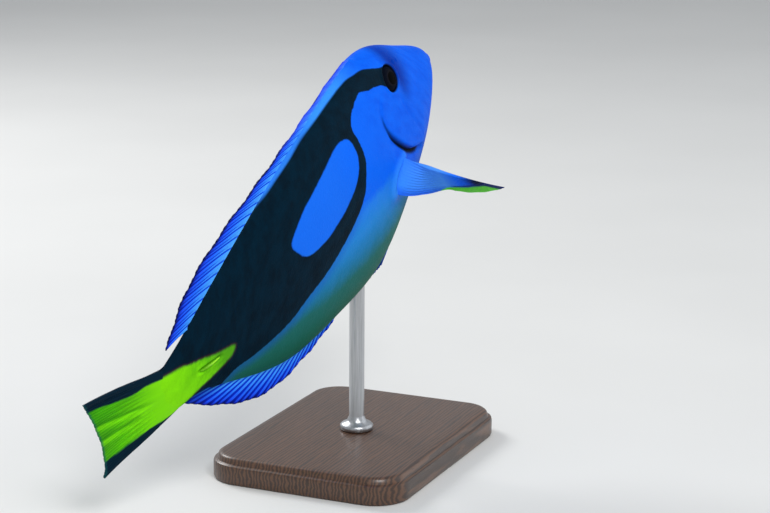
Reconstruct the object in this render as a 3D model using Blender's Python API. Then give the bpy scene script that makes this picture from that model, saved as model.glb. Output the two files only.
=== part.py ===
# A regal blue tang at life size, swimming up and away to the right, on a plain display stand.
# Metres, +Z up. The fish heads along +X, its left side towards +Y, and the base's underside is at Z 0.
# Every piece of the fish is shaped along a straight body first, then bent sideways as the fish
# bends, and an empty carries them all at the fish's climb.
import math

import bmesh
import bpy
import numpy as np

# Driving sizes. Shares are of the standard length, from the snout to the root of the tail fin.
standard_length = 0.200
gap = 0.0003
climb = math.radians(33.2)
tail_turn = math.radians(28.3)
head_turn = math.radians(7.0)
tail_turn_from, tail_turn_to = 0.30, 1.08
head_turn_from = 0.36
middle = 0.5

# Outline of the body: how far behind the snout, and the height or half width there
back_line = ((0, -.008), (.012, .0205), (.045, .053), (.10, .0995), (.19, .168), (.30, .200), (.45, .216),
             (.60, .2095), (.75, .169), (.88, .104), (.95, .062), (1.0, .036))
belly_line = ((0, -.008), (.012, -.042), (.045, -.086), (.10, -.150), (.20, -.202), (.32, -.233), (.45, -.239),
              (.60, -.2105), (.75, -.178), (.87, -.1145), (.94, -.0805), (1.0, -.077))
half_width = ((0, 0), (.012, .0243), (.045, .043), (.10, .0545), (.19, .0675), (.30, .0735), (.42, .0715),
              (.55, .061), (.70, .045), (.85, .0275), (.94, .0190), (1.0, .0125))
body_stations = 46
body_sides = 40

# Head
eye_place, eye_height = .212, .112
eye_radius, eye_bulge, eye_depth = .0056, .0012, .0036
nostril_places = ((.170, .119, .0010), (.154, .110, .0007))
gill_edge = ((.232, .300), (.236, .160), (.252, .124), (.286, .108), (.309, .080), (.304, .038), (.287, .000),
             (.264, -.035), (.238, -.062), (.209, -.081), (.180, -.094), (.158, -.118), (.148, -.170),
             (.145, -.300))
gill_slit_from, gill_slit_to = .20, .80
gill_slit_radius = .0020
mouth_height = -.014
mouth_corner = .017
mouth_turn = 82
lip_radius = .0013
mouth_gap = .0007

# Where the body is divided behind the gill edge
hind_body_from, tail_stem_from = .605, .885

# Fins
dorsal_from, dorsal_to, dorsal_spines, dorsal_rays = .256, .925, 9, 19
anal_from, anal_to, anal_spines, anal_rays = .505, .925, 3, 18
dorsal_margin = ((.256, .199), (.298, .214), (.353, .2235), (.415, .230), (.47, .2345), (.524, .2365),
                 (.575, .2355), (.621, .233), (.666, .229), (.707, .2235), (.748, .216), (.789, .2055),
                 (.827, .192), (.865, .175), (.90, .153), (.93, .127), (.955, .100), (.985, .065), (1.02, .020))
anal_margin = ((.505, -.2335), (.55, -.2295), (.585, -.2262), (.62, -.2255), (.655, -.2255), (.69, -.2243),
               (.739, -.223), (.766, -.2211), (.796, -.2166), (.827, -.2074), (.855, -.1944), (.885, -.1754),
               (.912, -.1534), (.95, -.1199), (.977, -.0924), (1.02, -.050))
dorsal_lean = ((.256, 38), (.40, 24), (.55, 17), (.70, 13), (.80, 6), (.87, -1), (.925, -8))
anal_lean = ((.505, 40), (.62, 34), (.72, 24), (.78, 15), (.83, 6), (.88, -1), (.925, -4))
ray_ridge, web_half = .00042, .00027
tail_fin_rays = 16
tail_fin_length, tail_fin_lobe, tail_fin_slant, tail_fin_middle = .1715, .013, .005, -.0215
tail_root_half_height, tail_fin_half_height = .052, .098
pectoral_rays = 13
pectoral_length = .254
pectoral_front_root, pectoral_rear_root = (.287, -.036), (.352, -.080)
pelvic_rays = 4
pelvic_length = .135

# Tail blade, the sharp scale that lies in a slit on each side of the tail's stem
blade_from, blade_to, blade_half_height = .895, .943, .0009
blade_height = -.018

# Stand
base_length, base_width, base_height, base_corner = .118, .086, .011, .015
base_bevel = .0022
rod_radius = .0032
rod_place = .475
tail_clearance = .009


def smooth_line(points, blunt=False):
    """A natural cubic spline through (place, value) points. A blunt one rises steeply at its start."""
    place, value = (np.array(column, float) for column in zip(*points))
    along = np.sqrt(place) if blunt else place
    step = np.diff(along)
    count = len(along)
    system, right_side = np.eye(count), np.zeros(count)
    for i in range(1, count - 1):
        system[i, i - 1:i + 2] = step[i - 1], 2 * (step[i - 1] + step[i]), step[i]
        right_side[i] = 6 * ((value[i + 1] - value[i]) / step[i] - (value[i] - value[i - 1]) / step[i - 1])
    bend = np.linalg.solve(system, right_side)

    def at(where):
        t = np.clip(np.sqrt(np.maximum(where, 0)) if blunt else where, along[0], along[-1])
        i = np.clip(np.searchsorted(along, t) - 1, 0, count - 2)
        a, b = (along[i + 1] - t) / step[i], (t - along[i]) / step[i]
        return a * value[i] + b * value[i + 1] + ((a**3 - a) * bend[i] + (b**3 - b) * bend[i + 1]) * step[i]**2 / 6

    return at


back, belly, width = (smooth_line(line, blunt=True) for line in (back_line, belly_line, half_width))


def smooth_step(value):
    value = np.clip(value, 0, 1)
    return value * value * (3 - 2 * value)


def side_of(place, height):
    """Half width of the body, as a share, at a place behind the snout and a height."""
    top, bottom = back(place), belly(place)
    centre = (top + bottom) / 2
    reach = np.clip((height - centre) / np.maximum((top - bottom) / 2, 1e-9), -1, 1)
    fullness = np.where(reach < 0, .46, .52)
    return width(place) * (1 - reach**2) ** fullness


def straight(place, side, height):
    """A point of the straight fish, in metres, from shares: place behind the snout, side to its left."""
    return np.stack(np.broadcast_arrays(-np.asarray(place, float), side, height), -1) * standard_length


def solid(name, points, faces):
    mesh = bpy.data.meshes.new(name)
    mesh.from_pydata([tuple(p) for p in np.asarray(points).reshape(-1, 3)], [], faces)
    shaped = bmesh.new()
    shaped.from_mesh(mesh)
    bmesh.ops.remove_doubles(shaped, verts=shaped.verts, dist=1e-7)
    bmesh.ops.recalc_face_normals(shaped, faces=shaped.faces)
    shaped.to_mesh(mesh)
    shaped.free()
    made = bpy.data.objects.new(name, mesh)
    bpy.context.collection.objects.link(made)
    return made


def loft(name, rings):
    """A closed solid through rings of points. A ring whose points agree closes to a tip."""
    rings = [np.asarray(ring) for ring in rings]
    count = len(rings[0])
    faces = []
    for i in range(len(rings) - 1):
        for j in range(count):
            k = (j + 1) % count
            faces.append((i * count + j, i * count + k, (i + 1) * count + k, (i + 1) * count + j))
    for end in (0, len(rings) - 1):
        if np.ptp(rings[end], axis=0).max() > 1e-7:
            faces.append(tuple(end * count + j for j in range(count)))
    return solid(name, np.concatenate(rings), faces)


def without(target, *cutters, operation="DIFFERENCE"):
    """Cuts the target by the cutters, or keeps what is inside them, and removes the cutters."""
    for cutter in cutters:
        step = target.modifiers.new("cut", "BOOLEAN")
        step.operation = operation
        step.solver = "MANIFOLD"
        step.object = cutter
    bpy.context.view_layer.update()
    shape = bpy.data.meshes.new_from_object(target.evaluated_get(bpy.context.evaluated_depsgraph_get()))
    target.modifiers.clear()
    target.data = shape
    for cutter in cutters:
        bpy.data.objects.remove(cutter)
    keep_largest(target)
    return target


def joined(name, pieces):
    """One Boolean union of closed pieces."""
    group = bpy.data.collections.new(name)
    for piece in pieces[1:]:
        bpy.context.collection.objects.unlink(piece)
        group.objects.link(piece)
    first = pieces[0]
    first.name = name
    union = first.modifiers.new("join", "BOOLEAN")
    union.operation, union.operand_type, union.solver = "UNION", "COLLECTION", "MANIFOLD"
    union.collection = group
    bpy.context.scene.collection.children.link(group)
    bpy.context.view_layer.update()
    shape = bpy.data.meshes.new_from_object(first.evaluated_get(bpy.context.evaluated_depsgraph_get()))
    first.modifiers.clear()
    first.data = shape
    for piece in pieces[1:]:
        bpy.data.objects.remove(piece)
    bpy.data.collections.remove(group)
    keep_largest(first)
    return first


def keep_largest(target):
    """Drops every loose scrap but the piece with the most faces."""
    shaped = bmesh.new()
    shaped.from_mesh(target.data)
    left, pieces = set(shaped.verts), []
    while left:
        found, edge = set(), [left.pop()]
        while edge:
            point = edge.pop()
            found.add(point)
            for line in point.link_edges:
                other = line.other_vert(point)
                if other in left:
                    left.remove(other)
                    edge.append(other)
        pieces.append(found)
    largest = max(pieces, key=len)
    bmesh.ops.delete(shaped, geom=[v for v in shaped.verts if v not in largest], context="VERTS")
    bmesh.ops.remove_doubles(shaped, verts=shaped.verts, dist=4e-6)
    bmesh.ops.dissolve_degenerate(shaped, edges=shaped.edges, dist=4e-6)
    shaped.to_mesh(target.data)
    shaped.free()


def body_solid(name, grown=0.0):
    """The whole body from the snout to the root of the tail fin, grown outwards by a few tenths if asked."""
    turns = np.linspace(0, 2 * math.pi, body_sides, endpoint=False)
    rings = []
    for step in np.linspace(0, 1, body_stations):
        place = step**1.35
        top, bottom = back(place), belly(place)
        height = (top + bottom) / 2 + (top - bottom) / 2 * np.sin(turns)
        side = side_of(place, height) * np.sign(np.cos(turns)) * (np.abs(np.cos(turns)) > 1e-9)
        ring = straight(place, side, height)
        if grown:
            centre = straight(place, 0, (top + bottom) / 2)
            outward = ring - centre
            size = np.linalg.norm(outward, axis=1, keepdims=True)
            ring = ring + grown * np.where(size > 1e-9, outward / np.maximum(size, 1e-9), 0)
            ring[:, 0] += grown if step == 0 else (-grown if step == 1 else 0)
        rings.append(ring)
    if grown:
        rings[0][:] = straight(0, 0, mouth_height) + np.array([grown, 0, 0])
    return loft(name, rings)


def region(name, front, rear):
    """What lies between two lines of the side view, each a list of (place, height), across the whole body."""
    outline = [*front, *reversed(rear)]
    across = .2
    left = [straight(place, across, height) for place, height in outline]
    right = [straight(place, -across, height) for place, height in outline]
    return loft(name, [left, right])


def side_curve(points, count):
    """Points evenly along a smooth curve through (place, height) points, from end to end."""
    order = np.arange(len(points))
    places = smooth_line(list(zip(order, [p[0] for p in points])))
    heights = smooth_line(list(zip(order, [p[1] for p in points])))
    steps = np.linspace(0, len(points) - 1, count)
    return [(float(places(t)), float(heights(t))) for t in steps]


def skin_frame(place, height, left):
    """A point of the skin on one side, its outward normal and its backward tangent, in metres."""
    sign = 1 if left else -1
    nudge = .004
    spot = straight(place, sign * side_of(place, height), height)
    behind = straight(place + nudge, sign * side_of(place + nudge, height), height)
    above = straight(place, sign * side_of(place, height + nudge), height + nudge)
    normal = np.cross(behind - spot, above - spot)
    normal /= np.linalg.norm(normal)
    if normal[1] * sign < 0:
        normal = -normal
    backward = (behind - spot) / np.linalg.norm(behind - spot)
    return spot, normal, backward


def ellipsoid(name, centre, axes, radii, rings=10, sides=20):
    """An ellipsoid whose three axes are given. Its poles lie on the first axis."""
    axes = [np.asarray(axis) / np.linalg.norm(axis) for axis in axes]
    turns = np.linspace(0, 2 * math.pi, sides, endpoint=False)
    made = []
    for lift in np.linspace(-math.pi / 2, math.pi / 2, rings + 1):
        round_part = math.cos(lift) if abs(lift) < math.pi / 2 - 1e-6 else 0
        made.append(centre + math.sin(lift) * radii[0] * axes[0]
                    + round_part * radii[1] * np.cos(turns)[:, None] * axes[1]
                    + round_part * radii[2] * np.sin(turns)[:, None] * axes[2])
    return loft(name, made)


def tube(name, centres, radii, sides=8):
    """A round tube through points, with one radius for each. A radius of zero closes it to a tip."""
    centres = np.asarray(centres)
    along = np.gradient(centres, axis=0)
    along /= np.linalg.norm(along, axis=1, keepdims=True)
    turns = np.linspace(0, 2 * math.pi, sides, endpoint=False)
    rings, guide = [], np.array([0, 0, 1.0])
    if abs(along[0] @ guide) > .8:
        guide = np.array([1.0, 0, 0])
    for centre, direction, radius in zip(centres, along, radii):
        guide = guide - (guide @ direction) * direction
        guide /= np.linalg.norm(guide)
        other = np.cross(direction, guide)
        rings.append(centre + radius * (np.cos(turns)[:, None] * guide + np.sin(turns)[:, None] * other))
    return loft(name, rings)


def sheet(name, centre, half, normal):
    """A thin closed vane: a grid of points with a half thickness at each. Both faces are split alike."""
    columns, rows = half.shape
    faces_of = np.concatenate([(centre + half[..., None] * normal).reshape(-1, 3),
                               (centre - half[..., None] * normal).reshape(-1, 3)])
    under = columns * rows

    def at(i, j):
        return i * rows + j

    faces = []
    for i in range(columns - 1):
        for j in range(rows - 1):
            a, b, c, d = at(i, j), at(i + 1, j), at(i + 1, j + 1), at(i, j + 1)
            for corner in ((a, b, c), (a, c, d)):
                faces.append(corner)
                faces.append(tuple(under + k for k in reversed(corner)))
    rim = [at(i, 0) for i in range(columns)] + [at(columns - 1, j) for j in range(1, rows)]
    rim += [at(i, rows - 1) for i in range(columns - 2, -1, -1)] + [at(0, j) for j in range(rows - 2, 0, -1)]
    for a, b in zip(rim, rim[1:] + rim[:1]):
        faces.append((b, a, under + a))
        faces.append((b, under + a, under + b))
    return solid(name, faces_of, faces)


def sheet_normals(centre):
    along, across = np.gradient(centre, axis=1), np.gradient(centre, axis=0)
    normal = np.cross(across, along)
    return normal / np.linalg.norm(normal, axis=2, keepdims=True)


def ray_reach(profile, margin, up, place, lean, bowed):
    """How far a ray runs from the body's outline before it meets the fin's margin."""
    short, long = 0, .20
    for _ in range(30):
        reach = (short + long) / 2
        spot = place + reach * (math.cos(lean) + bowed * math.sin(lean))
        rise = reach * (math.sin(lean) - bowed * math.cos(lean))
        if up * float(margin(spot) - profile(place)) > rise:
            short = reach
        else:
            long = reach
    return reach


def median_fin(name, up, first, last, spines, rays, margin_line, lean_line, rows=6):
    """The fin along the back, or the one under the tail, half folded: rays that lean back, with web between."""
    count = spines + rays
    profile = back if up > 0 else belly
    margin, lean_at = smooth_line(margin_line), smooth_line(lean_line)
    bowed = .05
    columns = 2 * count - 1
    centre, half = np.zeros((columns, rows, 3)), np.zeros((columns, rows))
    for i in range(columns):
        share = i / (columns - 1)
        place = first + (last - first) * share**.96
        lean = math.radians(float(lean_at(place)))
        on_ray = i % 2 == 0
        reach = ray_reach(profile, margin, up, place, lean, bowed) * (1 if on_ray else .98)
        if i // 2 < spines and not on_ray:
            reach *= .97
        ridge = ray_ridge * (1.5 if i // 2 < spines else 1)
        for j in range(rows):
            out = j / (rows - 1)
            run = reach * out
            bow = bowed * run * out
            behind = run * math.cos(lean) + bow * math.sin(lean)
            rise = run * math.sin(lean) - bow * math.cos(lean)
            spot = place + behind
            centre[i, j] = straight(spot, 0, profile(place) + up * (rise + 1.2 * gap / standard_length))
            thick = ridge if on_ray else web_half
            half[i, j] = thick * (1.25 - .45 * out) + .0004 * (1 - out) ** 4
    normal = np.zeros_like(centre)
    normal[..., 1] = 1
    return sheet(name, centre, half, normal)


def tail_fin(rows=9):
    """The tail fin, nearly closed: rays that fan from the root to a slightly hollow rear edge."""
    columns = 2 * tail_fin_rays - 1
    centre, half = np.zeros((columns, rows, 3)), np.zeros((columns, rows))
    for i in range(columns):
        spread = 2 * i / (columns - 1) - 1
        on_ray = i % 2 == 0
        lobe = tail_fin_length + tail_fin_lobe * abs(spread) ** 2.2 * (1 - .35 * spread) - tail_fin_slant * spread
        rim = 1 if on_ray else .99
        outer = abs(spread) > .9
        for j in range(rows):
            out = j / (rows - 1)
            place = 1 + gap / standard_length + lobe * rim * out
            fan = out * (1.12 - .12 * out)
            height = spread * (tail_root_half_height + (tail_fin_half_height - tail_root_half_height) * fan)
            height += tail_fin_middle
            sway = .012 * smooth_step(out) * (1 - spread * .25)
            centre[i, j] = straight(place, sway, height)
            thick = ray_ridge * (1.9 if outer else 1.15) if on_ray or outer else web_half * 1.05
            root = .0017 * math.sqrt(1 - .8 * spread**2) * (1 - out) ** 3
            half[i, j] = thick * (1.2 - .35 * out) + root
    return sheet("caudal_fin", centre, half, sheet_normals(centre))


def pectoral_fin(name, left, reach, chord_start, chord_end, rows=8):
    """A side fin: rays fan from a slanting root, the front ray longest, and the blade twists along its length."""
    columns = 2 * pectoral_rays - 1
    centre, half = np.zeros((columns, rows, 3)), np.zeros((columns, rows))
    front_root, rear_root = np.array(pectoral_front_root), np.array(pectoral_rear_root)
    sign = 1 if left else -1
    reach = np.array(reach) / np.linalg.norm(reach)
    length = standard_length * pectoral_length
    sunk = .05
    for i in range(columns):
        share = i / (columns - 1)
        on_ray = i % 2 == 0
        place, height = front_root + (rear_root - front_root) * share
        root = straight(place, sign * side_of(place, height), height)
        lead = straight(front_root[0], sign * side_of(*front_root), front_root[1])
        ray_length = length * (1 - .608 * share) * (1 if on_ray else .985)
        fan = standard_length * (.0073 * share + .0375 * share * (1 - share))
        for j in range(rows):
            out = -sunk + (1 + sunk) * j / (rows - 1)
            far = ray_length * out
            mix = smooth_step(far / length * 2.6)
            chord_turn = chord_start + (chord_end - chord_start) * mix
            chord = np.array([-math.sin(chord_turn), 0, -math.cos(chord_turn)])
            down_root = np.linalg.norm(root - lead)
            flat_root = lead + chord * down_root
            blend = smooth_step(max(out, 0) * 3)
            start = root * (1 - blend) + flat_root * blend
            lift = .167 * length * (far / length) ** 2
            centre[i, j] = start + reach * far + chord * fan * max(out, 0) + np.array([0, 0, lift])
            thick = ray_ridge * (1.5 if i == 0 else 1) if on_ray else web_half
            half[i, j] = thick * (1.2 - .4 * max(out, 0)) + .0014 * (1 - max(out, 0)) ** 5
    return sheet(name, centre, half, sheet_normals(centre))


def pelvic_fin(name, left, rows=7):
    """A belly fin: one spine and a few rays, folded back and a little out."""
    sign = 1 if left else -1
    columns = 2 * pelvic_rays - 1
    centre, half = np.zeros((columns, rows, 3)), np.zeros((columns, rows))
    root_place, root_side = .318, .013
    for i in range(columns):
        share = i / (columns - 1)
        on_ray = i % 2 == 0
        reach = pelvic_length * (1 - .38 * share) * (1 if on_ray else .96)
        down = math.radians(3.5 - 2 * share)
        for j in range(rows):
            out = -.10 + 1.10 * j / (rows - 1)
            run = reach * out
            place = root_place + .014 * share + run * math.cos(down)
            height = float(belly(root_place)) + .006 - run * math.sin(down)
            side = sign * (root_side + .010 * share + run * (.03 + .07 * share))
            centre[i, j] = straight(place, side, height)
            thick = ray_ridge * (1.6 if i == 0 else 1.1) if on_ray else web_half
            half[i, j] = thick * (1.2 - .4 * max(out, 0))
    return sheet(name, centre, half, sheet_normals(centre))


def snout_reach(turn, height):
    """How far from the mouth's centre the skin lies, level, at a turn from straight ahead."""
    near, far = 0.0, .06
    for _ in range(30):
        mid = (near + far) / 2
        place = mouth_corner - mid * math.cos(turn)
        inside = place > 0 and mid * abs(math.sin(turn)) < float(side_of(place, height))
        near, far = (mid, far) if inside else (near, mid)
    return near


def lips():
    """Two fleshy lips round the end of the snout, which meet at its corners."""
    made = []
    for side in (1, -1):
        spots, radii = [], []
        for turn in np.radians(np.linspace(-mouth_turn, mouth_turn, 15)):
            open_share = math.cos(turn / math.radians(mouth_turn) * math.pi / 2)
            height = mouth_height + side * .0064 * open_share - .005 * (1 - open_share)
            reach = snout_reach(turn, height) - .0008
            spots.append(straight(mouth_corner - reach * math.cos(turn), reach * math.sin(turn), height))
            radii.append(lip_radius * (.35 + .65 * open_share**.7))
        made.append(tube(f"lip_{side}", spots, radii))
    return made


def mouth_cutter():
    """A thin slice that parts the lips, down to their corners."""
    outline = [straight(mouth_corner + .004, 0, mouth_height)]
    for turn in np.radians(np.linspace(-mouth_turn + 8, mouth_turn - 8, 13)):
        open_share = math.cos(turn / math.radians(mouth_turn) * math.pi / 2)
        reach = .002 + (snout_reach(turn, mouth_height) + .010) * (.35 + .65 * open_share)
        reach = max(reach, snout_reach(turn, mouth_height) + .006)
        outline.append(straight(mouth_corner - reach * math.cos(turn), reach * math.sin(turn),
                                mouth_height - .005 * (1 - open_share)))
    lift = np.array([0, 0, mouth_gap / 2])
    return loft("mouth_cutter", [[p + lift for p in outline], [p - lift for p in outline]])


def gill_slit(left):
    """The groove behind the gill cover's edge, on one side."""
    line = side_curve(gill_edge, 60)
    first, last = int(gill_slit_from * 60), int(gill_slit_to * 60)
    spots, radii = [], []
    for i, (place, height) in enumerate(line[first:last:2]):
        share = i / len(line[first:last:2])
        radius = gill_slit_radius * math.sin(math.pi * min(1, share + .04)) ** .6
        spot, _, _ = skin_frame(place, height, left)
        spots.append(spot + np.array([-.35 * radius, 0, 0]))
        radii.append(radius)
    return tube(f"slit_{left}", spots, radii)


def eye(name, left, grown=0.0):
    spot, normal, backward = skin_frame(eye_place, eye_height, left)
    centre = spot + normal * (eye_bulge - eye_depth)
    upward = np.cross(normal, backward)
    radii = (eye_depth + grown, eye_radius + grown, eye_radius + grown)
    return ellipsoid(name, centre, (normal, backward, upward), radii, rings=12, sides=24)


def eye_rim(left):
    """The low fleshy ring round the eye."""
    spot, normal, backward = skin_frame(eye_place, eye_height, left)
    upward = np.cross(normal, backward)
    spots = []
    for turn in np.linspace(0, 2 * math.pi, 24, endpoint=False):
        around = math.cos(turn) * backward + math.sin(turn) * upward
        spots.append(spot + around * (eye_radius + .0003) - normal * .0002)
    spots = np.array(spots)
    rings = []
    for here, before, after in zip(spots, np.roll(spots, 1, 0), np.roll(spots, -1, 0)):
        outward = here - spot
        outward /= np.linalg.norm(outward)
        lift = np.cross(after - before, outward)
        lift /= np.linalg.norm(lift)
        rings.append([here + .0008 * (math.cos(t) * outward + math.sin(t) * lift)
                      for t in np.linspace(0, 2 * math.pi, 6, endpoint=False)])
    points = np.concatenate(rings)
    faces = []
    for i in range(24):
        for j in range(6):
            k, after = (j + 1) % 6, (i + 1) % 24
            faces.append((i * 6 + j, i * 6 + k, after * 6 + k, after * 6 + j))
    return solid(f"rim_{left}", points, faces)


def nostril(place, height, radius, left):
    spot, normal, backward = skin_frame(place, height, left)
    upward = np.cross(normal, backward)
    return ellipsoid("nostril", spot, (normal, backward, upward), (radius * 1.6, radius, radius * 1.3), 6, 10)


def tail_blade(name, left, grown=0.0):
    """A blade like a lancet, point forward, that lies in its slit."""
    spots, radii = [], []
    for share in np.linspace(0, 1, 9):
        place = blade_from + (blade_to - blade_from) * share
        spot, normal, _ = skin_frame(place, blade_height, left)
        spots.append(spot + normal * (.0004 * math.sin(math.pi * share) - .0001))
        radii.append(blade_half_height * (share**.5 * (1 - share**4) ** .5) + grown)
    radii[-1] = grown
    if grown:
        spots[0] = spots[0] + np.array([grown, 0, 0])
        spots[-1] = spots[-1] - np.array([grown, 0, 0])
        radii[0] = radii[-1] = 0
    return tube(name, spots, radii)


def build_body():
    """Head, torso, hind body and tail stem, parted by thin cuts, with their sockets, slits and lips."""
    half_gap = gap / 2 / standard_length
    edge = side_curve(gill_edge, 34)

    def upright(place):
        return [(place, .3), (place, -.3)]

    def moved(line, by):
        return [(place + by, height) for place, height in line]

    divisions = (
        ("head", upright(-.05), moved(edge, -half_gap)),
        ("torso", moved(edge, half_gap), upright(hind_body_from - half_gap)),
        ("hind_body", upright(hind_body_from + half_gap), upright(tail_stem_from - half_gap)),
        ("tail_stem", upright(tail_stem_from + half_gap), upright(1.05)),
    )
    nodes = {}
    for name, front, rear in divisions:
        nodes[name] = without(body_solid(name), region("slab", front, rear), operation="INTERSECT")
    nodes["head"] = joined("head", [nodes["head"], *lips(), eye_rim(True), eye_rim(False)])
    cutters = [mouth_cutter()]
    for left in (True, False):
        cutters.append(eye("socket", left, gap))
        cutters += [nostril(*spot, left) for spot in nostril_places]
    without(nodes["head"], *cutters)
    without(nodes["torso"], gill_slit(True), gill_slit(False))
    without(nodes["tail_stem"], tail_blade("slit", True, gap), tail_blade("slit", False, gap))
    nodes["eye_left"], nodes["eye_right"] = eye("eye_left", True), eye("eye_right", False)
    nodes["tail_blade_left"] = tail_blade("tail_blade_left", True)
    nodes["tail_blade_right"] = tail_blade("tail_blade_right", False)
    return nodes


def build_fins():
    """Every fin. The side and belly fins' roots are trimmed to the skin with a thin gap."""
    trimmed = {
        "pectoral_fin_right": pectoral_fin("pectoral_fin_right", False, (-.227, -1, -.200),
                                           math.radians(18.4), math.radians(-21.2)),
        "pectoral_fin_left": pectoral_fin("pectoral_fin_left", True, (-.72, .56, -.42),
                                          math.radians(27), math.radians(10)),
        "pelvic_fin_right": pelvic_fin("pelvic_fin_right", False),
        "pelvic_fin_left": pelvic_fin("pelvic_fin_left", True),
    }
    for fin in trimmed.values():
        without(fin, body_solid("trim", gap))
    along_the_middle = {
        "dorsal_fin": median_fin("dorsal_fin", 1, dorsal_from, dorsal_to, dorsal_spines, dorsal_rays,
                                 dorsal_margin, dorsal_lean),
        "anal_fin": median_fin("anal_fin", -1, anal_from, anal_to, anal_spines, anal_rays, anal_margin,
                               anal_lean),
        "caudal_fin": tail_fin(),
    }
    return {**trimmed, **along_the_middle}


def bend(target):
    """Bends a piece of the straight fish sideways: the tail to its left, the head a little to its right."""
    points = np.zeros(len(target.data.vertices) * 3, np.float32)
    target.data.vertices.foreach_get("co", points)
    points = points.reshape(-1, 3).astype(float)
    marks = np.linspace(-.1, 1.4, 601)
    turn = tail_turn * smooth_step((marks - tail_turn_from) / (tail_turn_to - tail_turn_from))
    turn += head_turn * smooth_step((head_turn_from - marks) / head_turn_from)
    steps = np.diff(marks) * standard_length
    mid_turn = (turn[1:] + turn[:-1]) / 2
    spine_x = np.concatenate([[0], np.cumsum(-np.cos(mid_turn) * steps)])
    spine_y = np.concatenate([[0], np.cumsum(np.sin(mid_turn) * steps)])
    spine_x -= np.interp(middle, marks, spine_x)
    spine_y -= np.interp(middle, marks, spine_y)
    place = -points[:, 0] / standard_length
    here = np.interp(place, marks, turn)
    moved = np.stack([np.interp(place, marks, spine_x) + points[:, 1] * np.sin(here),
                      np.interp(place, marks, spine_y) + points[:, 1] * np.cos(here),
                      points[:, 2]], -1)
    target.data.vertices.foreach_set("co", moved.astype(np.float32).ravel())
    target.data.update()


def build_stand(carrier, trim):
    """A flat base with rounded corners, and one rod up to the belly."""
    shaped = bmesh.new()
    corners = []
    for cx, cy, start in ((1, 1, 0), (-1, 1, 90), (-1, -1, 180), (1, -1, 270)):
        for turn in range(0, 91, 15):
            angle = math.radians(start + turn)
            corners.append((cx * (base_length / 2 - base_corner) + base_corner * math.cos(angle),
                            cy * (base_width / 2 - base_corner) + base_corner * math.sin(angle)))
    face = shaped.faces.new([shaped.verts.new((x, y, 0)) for x, y in corners])
    top = bmesh.ops.extrude_face_region(shaped, geom=[face])
    raised = [v for v in top["geom"] if isinstance(v, bmesh.types.BMVert)]
    bmesh.ops.translate(shaped, verts=raised, vec=(0, 0, base_height))
    upper = [e for e in shaped.edges if all(v.co.z > base_height - 1e-6 for v in e.verts)]
    bmesh.ops.bevel(shaped, geom=upper, offset=base_bevel, segments=2, affect="EDGES")
    bmesh.ops.recalc_face_normals(shaped, faces=shaped.faces)
    mesh = bpy.data.meshes.new("stand_base")
    shaped.to_mesh(mesh)
    shaped.free()
    base = bpy.data.objects.new("stand_base", mesh)
    bpy.context.collection.objects.link(base)
    turns = np.linspace(0, 2 * math.pi, 24, endpoint=False)
    circle = np.stack([rod_radius * np.cos(turns), rod_radius * np.sin(turns), 0 * turns], -1)
    foot = np.array([0, 0, base_height + gap])
    head = np.array([0, 0, carrier.location.z])
    rod = loft("stand_rod", [circle + foot, circle + head])
    cut = rod.modifiers.new("seat", "BOOLEAN")
    cut.solver = "MANIFOLD"
    cut.object = trim
    return {"stand_base": base, "stand_rod": rod}


def painted(name, colour, roughness, metallic=0.0):
    material = bpy.data.materials.new(name)
    material.use_nodes = True
    shader = material.node_tree.nodes["Principled BSDF"]
    shader.inputs["Base Color"].default_value = (*colour, 1)
    shader.inputs["Roughness"].default_value = roughness
    shader.inputs["Metallic"].default_value = metallic
    return material


def main():
    for thing in list(bpy.data.objects):
        bpy.data.objects.remove(thing)
    fish = {**build_body(), **build_fins()}
    trim = body_solid("rod_trim", gap)
    trim.hide_render = True
    trim.display_type = "WIRE"
    for piece in [*fish.values(), trim]:
        bend(piece)

    # The empty stands at the middle of the body. The rod reaches the belly right over the base's centre.
    lowest = min(math.cos(climb) * v.co.z + math.sin(climb) * v.co.x
                 for piece in fish.values() for v in piece.data.vertices)
    carrier = bpy.data.objects.new("fish", None)
    bpy.context.collection.objects.link(carrier)
    carrier.rotation_euler = (0, -climb, 0)
    seat_x, seat_z = (middle - rod_place) * standard_length, float(belly(rod_place)) * standard_length
    seat = math.cos(climb) * seat_x - math.sin(climb) * seat_z
    carrier.location = (-seat, 0, base_height + tail_clearance - lowest)
    for piece in [*fish.values(), trim]:
        piece.parent = carrier
    bpy.context.view_layer.update()

    nodes = {**fish, **build_stand(carrier, trim)}
    blue, dark, yellow = (.03, .14, .75), (.006, .009, .02), (.62, .75, .03)
    finishes = {
        "skin_blue": painted("skin_blue", blue, .38),
        "skin_black": painted("skin_black", dark, .42),
        "fin_blue": painted("fin_blue", (.03, .17, .80), .40),
        "fin_yellow": painted("fin_yellow", yellow, .42),
        "eye": painted("eye", (.01, .01, .012), .08),
        "base_wood": painted("base_wood", (.055, .035, .022), .45),
        "rod_metal": painted("rod_metal", (.55, .55, .56), .30, 1.0),
    }
    slots = {"head": "skin_blue", "torso": "skin_black", "hind_body": "skin_black", "tail_stem": "fin_yellow",
             "caudal_fin": "fin_yellow", "stand_base": "base_wood", "stand_rod": "rod_metal"}
    for name, piece in nodes.items():
        if name.startswith("eye"):
            slot = "eye"
        else:
            slot = slots.get(name, "fin_yellow" if name.startswith("tail_blade") else "fin_blue")
        piece.data.materials.clear()
        piece.data.materials.append(finishes[slot])
        piece.data.shade_smooth()
        piece.data.set_sharp_from_angle(angle=math.radians(35))


main()
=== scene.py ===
import math

import bmesh
import bpy
import numpy as np
from mathutils import Matrix, Vector


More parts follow.
